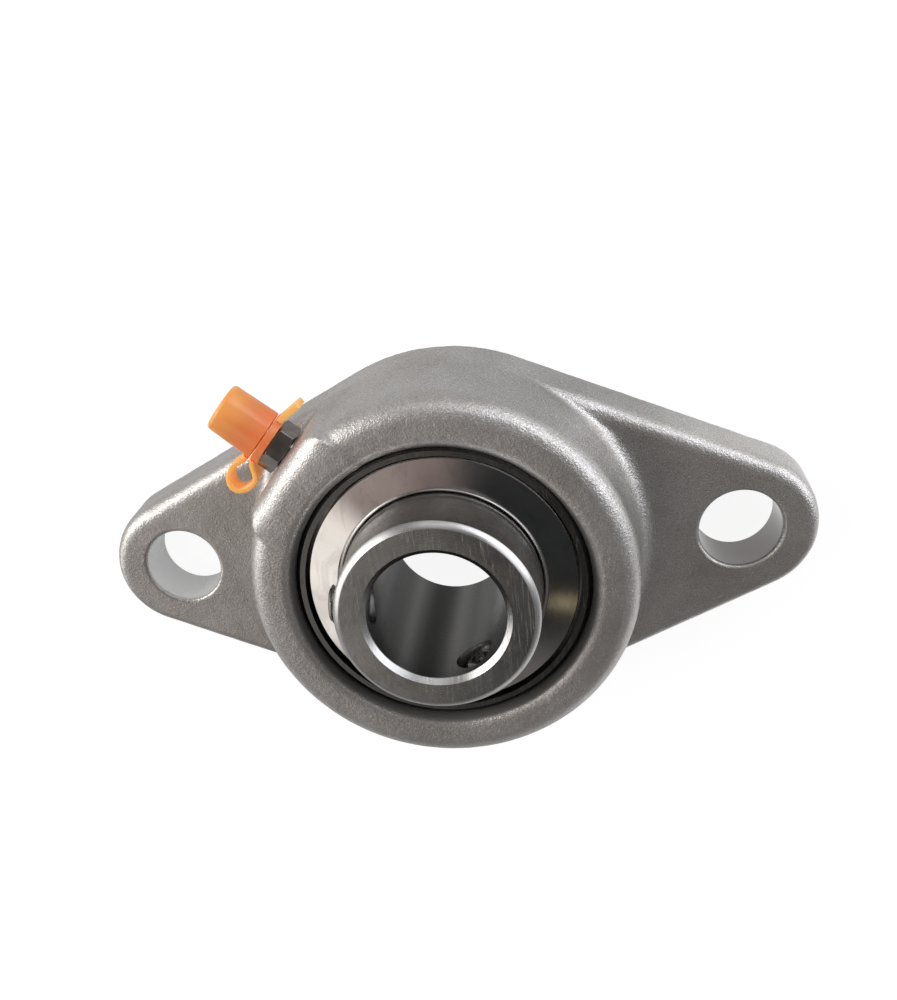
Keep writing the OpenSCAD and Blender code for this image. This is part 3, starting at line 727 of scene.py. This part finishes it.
# Rounded rim of the bolt holes, and how far their cutters stand above the flange
HOLE_RIM = 0.75
HOLE_ABOVE = 1.1
# Distance from the shaft axis at which the tapped hole and the slots start and end
TAP_FROM = 20
TAP_TO = 34
SLOT_FROM = 15.0


def seat_cutter():
    """Recess behind the seat, spherical seat and cone of the mouth."""
    angles = np.linspace(math.asin(SEAT_LOW / SEAT_R), math.asin(SEAT_HIGH / SEAT_R), 24)
    seat = [(SEAT_R * math.cos(a), CENTRE_H + SEAT_R * math.sin(a)) for a in angles]
    recess = [(RECESS_R, -CLEAR), (RECESS_R, RECESS_H)]
    return lathe("cut_seat", recess + seat + [(CONE_R, BOSS_H + CLEAR)], cols=256)


def hole_cutter(x):
    """Bolt hole with a countersink below and a rounded rim above."""
    rim_from = FLANGE_H - HOLE_RIM
    profile = [(HOLE_R + HOLE_SINK + CLEAR, -CLEAR), (HOLE_R, HOLE_SINK), (HOLE_R, rim_from)]
    for a in np.linspace(0, math.pi / 2, 7)[1:]:
        profile.append((HOLE_R + HOLE_RIM * (1 - math.cos(a)), rim_from + HOLE_RIM * math.sin(a)))
    profile.append((HOLE_R + CLEAR, FLANGE_H + HOLE_ABOVE))
    return lathe("cut_hole", profile, x)


def slot_cutter(side):
    """One of the two slots in the back, through which the insert is put in crosswise."""
    start = math.asin(SLOT_HALF / SLOT_R)
    arc = [(side * SLOT_R * math.cos(a), SLOT_R * math.sin(a)) for a in np.linspace(-start, start, 9)]
    ring = [(side * SLOT_FROM, -SLOT_HALF)] + arc + [(side * SLOT_FROM, SLOT_HALF)]
    verts = [(x, y, z) for z in (-CLEAR, CENTRE_H) for x, y in ring]
    return new_mesh("cut_slot", verts, tube_faces(2, len(ring)))


def tap_cutter():
    """Tapped hole for the nipple."""
    tap = lathe("cut_tap", [(TAP_R, TAP_FROM), (TAP_R, TAP_TO)], cols=48)
    tap.data.transform(Matrix.Scale(1 / MM, 4) @ radial_matrix(NIPPLE_ANGLE))
    return tap


def cast_body():
    p, quads = skin(casting, GRID_LOW, GRID_HIGH, CELL)
    normal = slope_of(casting, p)
    normal /= np.maximum(np.linalg.norm(normal, axis=1), 1e-6)[:, None]
    # Uneven skin everywhere but on the machined back, kept just inside the CAD solid
    uneven = sum(height * waves(p, *kind) for height, *kind in SKIN_WAVES)
    above = np.clip(p[:, 2], 0, 1) * (p[:, 2] > 0.05)
    p = p + normal * (uneven * above - SKIN_DROP * above)[:, None]
    obj = new_mesh("cast_body", p, quads.tolist())
    holes = [hole_cutter(-HOLE_X), hole_cutter(HOLE_X)]
    slots = [slot_cutter(-1), slot_cutter(1)]
    cut_away(obj, [seat_cutter()] + holes + slots + [tap_cutter()])
    obj.data.transform(Matrix.Scale(MM, 4))
    smooth_by_angle(obj, 42)
    return obj


body = cast_body()
dress(body, "cast_stainless")
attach(body, "housing")
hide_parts("housing")

# Grub screws with a real thread, a cup point and a hexagon socket
THREAD_PITCH = 0.75
THREAD_DEPTH = 0.40
THREAD_EASE = 0.03
THREAD_CREST = 0.12
THREAD_FLANK = 0.76
POINT_R = 2.0
POINT_SLOPE = 1.3
HEAD_MARGIN = 0.05
HEAD_CHAMFER = 0.45
HEAD_SLOPE = 1.2
# Height and radius of the rings of points from the cup's middle out to its rim
CUP = ((1.15, 0.02), (0.62, 0.95), (0.06, 1.72), (0.0, 1.86))


def threaded_screw(name, angle, twist):
    cols, steps = 72, 100
    turns = [2 * math.pi * j / cols for j in range(cols)]
    verts = []

    def ring(z, radius_at):
        for a in turns:
            verts.append((radius_at(a) * math.cos(a), radius_at(a) * math.sin(a), z))

    def plain(radius):
        return lambda a: radius

    def thread(z):
        def radius_at(a):
            phase = (z / THREAD_PITCH - (a + twist) / (2 * math.pi)) % 1.0
            tooth = min(max((abs(phase - 0.5) * 2 - THREAD_CREST) / THREAD_FLANK, 0), 1)
            flank = SCREW_R - THREAD_EASE - THREAD_DEPTH * tooth
            point = POINT_R + z * POINT_SLOPE
            head = SCREW_R + HEAD_MARGIN - max(0, z - (SCREW_LEN - HEAD_CHAMFER)) * HEAD_SLOPE
            return min(flank, point, head)
        return radius_at

    def hexagon(a):
        b = (a + math.pi / 6) % (math.pi / 3) - math.pi / 6
        return SOCKET_R / math.cos(b)

    for z, radius in CUP:
        ring(z, plain(radius))
    for i in range(steps + 1):
        z = SCREW_LEN * i / steps
        ring(z, thread(z))
    # The socket: a conical mouth, the hexagon and the cone at its end
    ring(SCREW_LEN, plain(1.95))
    ring(SCREW_LEN - 0.2, lambda a: max(1.74, hexagon(a) + 0.02))
    ring(SCREW_LEN - 0.3, hexagon)
    ring(SCREW_LEN - SOCKET_DEPTH, hexagon)
    ring(SCREW_LEN - SOCKET_DEPTH - 0.3, plain(0.3))
    ring(SCREW_LEN - SOCKET_DEPTH - 0.32, plain(0.02))
    obj = new_mesh(name, verts, tube_faces(len(verts) // cols, cols))
    obj.data.transform(radial_matrix(angle, SCREW_H) @ Matrix.Translation((0, 0, SCREW_IN)))
    smooth_by_angle(obj, 40)
    return obj


for i, angle in enumerate(SCREW_ANGLES, start=1):
    screw = threaded_screw(f"screw_{i}_thread", angle, 0.9 * i)
    dress(screw, "screw_steel")
    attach(screw, f"screw_{i}")
    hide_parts(f"set_screw_{i}")


# Strap from the tether ring to the cap, with rounded edges
def cubic(c, t):
    u = 1 - t
    return c[0] * u ** 3 + c[1] * 3 * t * u * u + c[2] * 3 * t * t * u + c[3] * t ** 3


def strap_line():
    """Middle line of the strap, as distance from the nipple's axis and distance along it."""
    in_ring, in_cap, above_cap, pull = 0.2, 0.12, 0.03, 0.55
    root = Vector((TETHER_R - in_ring, TETHER_AT + TETHER_T / 2))
    end = Vector((CAP_R - in_cap, CAP_AT + STRAP_T / 2 + above_cap))
    far = Vector((STRAP_REACH - STRAP_T / 2, root[1]))
    low = Vector(((TETHER_R + far[0]) / 2, root[1] - STRAP_DIP))
    high = Vector((low[0], end[1] + STRAP_RISE))
    out = Vector(((far[0] - low[0]) * pull, 0))
    down = Vector((0, STRAP_DIP * pull))
    up = Vector((0, (high[1] - far[1]) * pull))
    curves = [
        [root, root + Vector((1.1, 0)), low - out, low],
        [low, low + out, far - down, far],
        [far, far + up, high + out, high],
        [high, high - out * 0.8, end + Vector((1.05, 0)), end],
    ]
    steps = 12
    return [cubic(c, i / steps) for c in curves for i in range(steps)] + [end]


def strap_section():
    """Rectangle with rounded corners, as places across the strap's width and thickness."""
    corner = 0.18
    half_w, half_t = STRAP_W / 2 - corner, STRAP_T / 2 - corner
    section = []
    for cx, cy, start in ((1, 1, 0), (-1, 1, 90), (-1, -1, 180), (1, -1, 270)):
        for k in range(4):
            a = math.radians(start + 30 * k)
            section.append((cx * half_w + corner * math.cos(a), cy * half_t + corner * math.sin(a)))
    return section


def strap():
    line, section = strap_line(), strap_section()
    verts = []
    for i, p in enumerate(line):
        ahead = line[min(i + 1, len(line) - 1)] - line[max(i - 1, 0)]
        ahead.normalize()
        side = Vector((-ahead[1], ahead[0]))
        for w, t in section:
            q = p + side * t
            verts.append((w, q[0], q[1]))
    obj = new_mesh("strap_loop", verts, tube_faces(len(line), len(section)))
    obj.data.transform(radial_matrix(NIPPLE_ANGLE))
    smooth_by_angle(obj, 50)
    return obj


along_nipple = radial_matrix(NIPPLE_ANGLE)
loop = strap()
dress(loop, "orange_plastic")
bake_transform(loop)
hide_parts("cap_strap")


# Round wire spring behind the check ball
def spring():
    steps, sides = 24, 10
    count = SPRING_TURNS * steps
    rise = SPRING_TO - SPRING_FROM - SPRING_WIRE
    wire_r = SPRING_WIRE / 2
    verts = []
    for i in range(count + 1):
        turn = 2 * math.pi * i / steps
        for k in range(sides):
            a = 2 * math.pi * k / sides
            r = SPRING_R + wire_r * math.cos(a)
            z = SPRING_FROM + wire_r * (1 + math.sin(a)) + rise * i / count
            verts.append((r * math.cos(turn), r * math.sin(turn), z))
    obj = new_mesh("spring_coil", verts, tube_faces(count + 1, sides))
    obj.data.transform(radial_matrix(NIPPLE_ANGLE))
    smooth_by_angle(obj, 50)
    return obj


coil = spring()
dress(coil, "spring_steel")
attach(coil, "housing")
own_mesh(coil)
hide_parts("nipple_spring")

# Camera at the photograph's viewing angle, solved from the holes, rings and outline.
# The frame is 897 x 1000 pixels, so a length over 1000 is a share of its longer side.
FOCAL_PIXELS = 1046.081
MIDDLE_PIXELS = (411.5198, 606.818)
FRAME_MIDDLE = (448.5, 500)
FRAME_LONG = 1000
SENSOR = 36
CAMERA_TURN = {"X": 0.4726964, "Y": -0.1844772, "Z": 0.1423558}
CAMERA_OFFSET = (7.3073530, 13.7831114, -175.9138447)


def camera():
    turn = Matrix.Identity(3)
    for axis in ("Z", "X", "Y"):
        turn = turn @ Matrix.Rotation(CAMERA_TURN[axis], 3, axis)
    back = turn.transposed()
    data = bpy.data.cameras.new("camera")
    data.sensor_fit = "AUTO"
    data.sensor_width = SENSOR
    data.lens = FOCAL_PIXELS / FRAME_LONG * SENSOR
    data.shift_x = (FRAME_MIDDLE[0] - MIDDLE_PIXELS[0]) / FRAME_LONG
    data.shift_y = (MIDDLE_PIXELS[1] - FRAME_MIDDLE[1]) / FRAME_LONG
    data.clip_start = 0.01
    data.clip_end = 20
    data.dof.use_dof = False
    cam = bpy.data.objects.new("camera", data)
    cam.matrix_world = Matrix.Translation(-(back @ (Vector(CAMERA_OFFSET) * MM))) @ back.to_4x4()
    scene.collection.objects.link(cam)
    scene.camera = cam


camera()

# Pale floor that keeps a soft shadow; metal mirrors it, with a painted pool of light that makes it
# brighter on the right
FLOOR_HALF = 3.0
FLOOR_DROP = -0.00015
FLOOR_SEEN = 0.90
FLOOR_MIRRORED = (0.42, 0.90)
FLOOR_PAINTED_POOL = (0.026, 0.052)
FLOOR_MATTE = (0.22, 0.22, 0.22)


def floor():
    h, z = FLOOR_HALF, FLOOR_DROP
    obj = new_mesh("floor", [(-h, -h, z), (h, -h, z), (h, h, z), (-h, h, z)], [(0, 1, 2, 3)])
    mat = bpy.data.materials.new("floor_look")
    mat.use_nodes = True
    n = Nodes(mat.node_tree)
    x = n.parts(n.place())[0]
    out = n.add("ShaderNodeOutputMaterial")
    path = n.add("ShaderNodeLightPath")
    seen = n.math("MULTIPLY", path.outputs["Is Camera Ray"], FLOOR_SEEN)
    # Painted pool of light: the floor glows brighter for reflections towards the right
    mirrored = n.ramp(x, *FLOOR_PAINTED_POOL, *FLOOR_MIRRORED)
    mirrored = n.math("MULTIPLY", path.outputs["Is Glossy Ray"], mirrored)
    strength = n.math("ADD", seen, mirrored)
    glow = n.add("ShaderNodeEmission", inputs={"Color": (1, 1, 1), "Strength": strength})
    matte = n.add("ShaderNodeBsdfDiffuse", inputs={"Color": FLOOR_MATTE})
    both = n.add("ShaderNodeAddShader", inputs={0: glow.outputs[0], 1: matte.outputs[0]})
    n.put(out.inputs[0], both.outputs[0])
    obj.data.materials.append(mat)


floor()

# Daylight room: dim overhead with a dark camera, windows at the sides, white where the camera looks
WINDOWS = [
    # direction, degrees from it where the light starts and where it is full, colour
    ((-0.90, 0.25, 0.30), 40, 20, (1.90, 1.87, 1.82)),
    ((0.05, 0.92, 0.38), 27, 13, (0.95, 0.95, 0.97)),
    ((0.53, 0.77, 0.30), 17, 8, (2.30, 2.40, 2.60)),
    ((0.88, 0.38, 0.26), 30, 17, (2.90, 3.00, 3.20)),
    ((-0.97, -0.18, 0.05), 22, 11, (1.50, 1.50, 1.50)),
    ((-0.46, -0.38, 0.80), 15, 9, (0.76, 0.73, 0.68)),
    ((-0.26, -0.14, 0.95), 14, 6, (0.10, 0.055, 0.045)),
    ((0.178, -0.51, 0.845), 1.5, 0.5, (0.55, 0.46, 0.28)),
]
OVERHEAD = (0.19, 0.18, 0.174)
LOW_DOWN = (0.26, 0.26, 0.27)
DARK_CAMERA = ((0.13, -0.34, 0.93), 24, 11, (0.022, 0.023, 0.024))
CAMERA_SEES = (1, 1, 1)


def world():
    w = bpy.data.worlds.new("room")
    scene.world = w
    w.use_nodes = True
    n = Nodes(w.node_tree)
    out = n.add("ShaderNodeOutputWorld")
    direction = n.add("ShaderNodeTexCoord").outputs["Generated"]
    up = n.parts(direction)[2]

    def near(where, start, full):
        dot = n.vmath("DOT_PRODUCT", direction, tuple(Vector(where).normalized()))
        return n.ramp(dot, math.cos(math.radians(start)), math.cos(math.radians(full)))

    light = n.mix(n.ramp(up, 0.0, 0.7), LOW_DOWN, OVERHEAD)
    where, start, full, tint = DARK_CAMERA
    light = n.mix(near(where, start, full), light, tint)
    for where, start, full, tint in WINDOWS:
        light = n.mix(near(where, start, full), light, n.mix(1.0, light, tint, "ADD"))
    uneven = n.ramp(n.noise(direction, 3.4, 3, 0.6), 0.35, 0.65, 0.72, 1.22)
    light = n.add("ShaderNodeVectorMath", operation="SCALE", inputs={0: light, "Scale": uneven}).outputs[0]
    seen = n.add("ShaderNodeLightPath").outputs["Is Camera Ray"]
    colour = n.mix(seen, light, CAMERA_SEES)
    back = n.add("ShaderNodeBackground", inputs={"Color": colour, "Strength": 1.0})
    n.put(out.inputs[0], back.outputs[0])


world()


def key_light():
    """Soft square lamp at the upper left, aimed at the bearing."""
    place, target = Vector((-0.62, 0.30, 0.38)), Vector((0, 0, 0.01))
    data = bpy.data.lights.new("key", "AREA")
    data.shape = "RECTANGLE"
    data.size = 0.30
    data.size_y = 0.30
    data.energy = 1.5
    data.color = (1, 0.985, 0.96)
    obj = bpy.data.objects.new("key", data)
    obj.location = place
    obj.rotation_euler = (target - place).to_track_quat("-Z", "Y").to_euler()
    scene.collection.objects.link(obj)


key_light()

scene.view_settings.view_transform = "Standard"
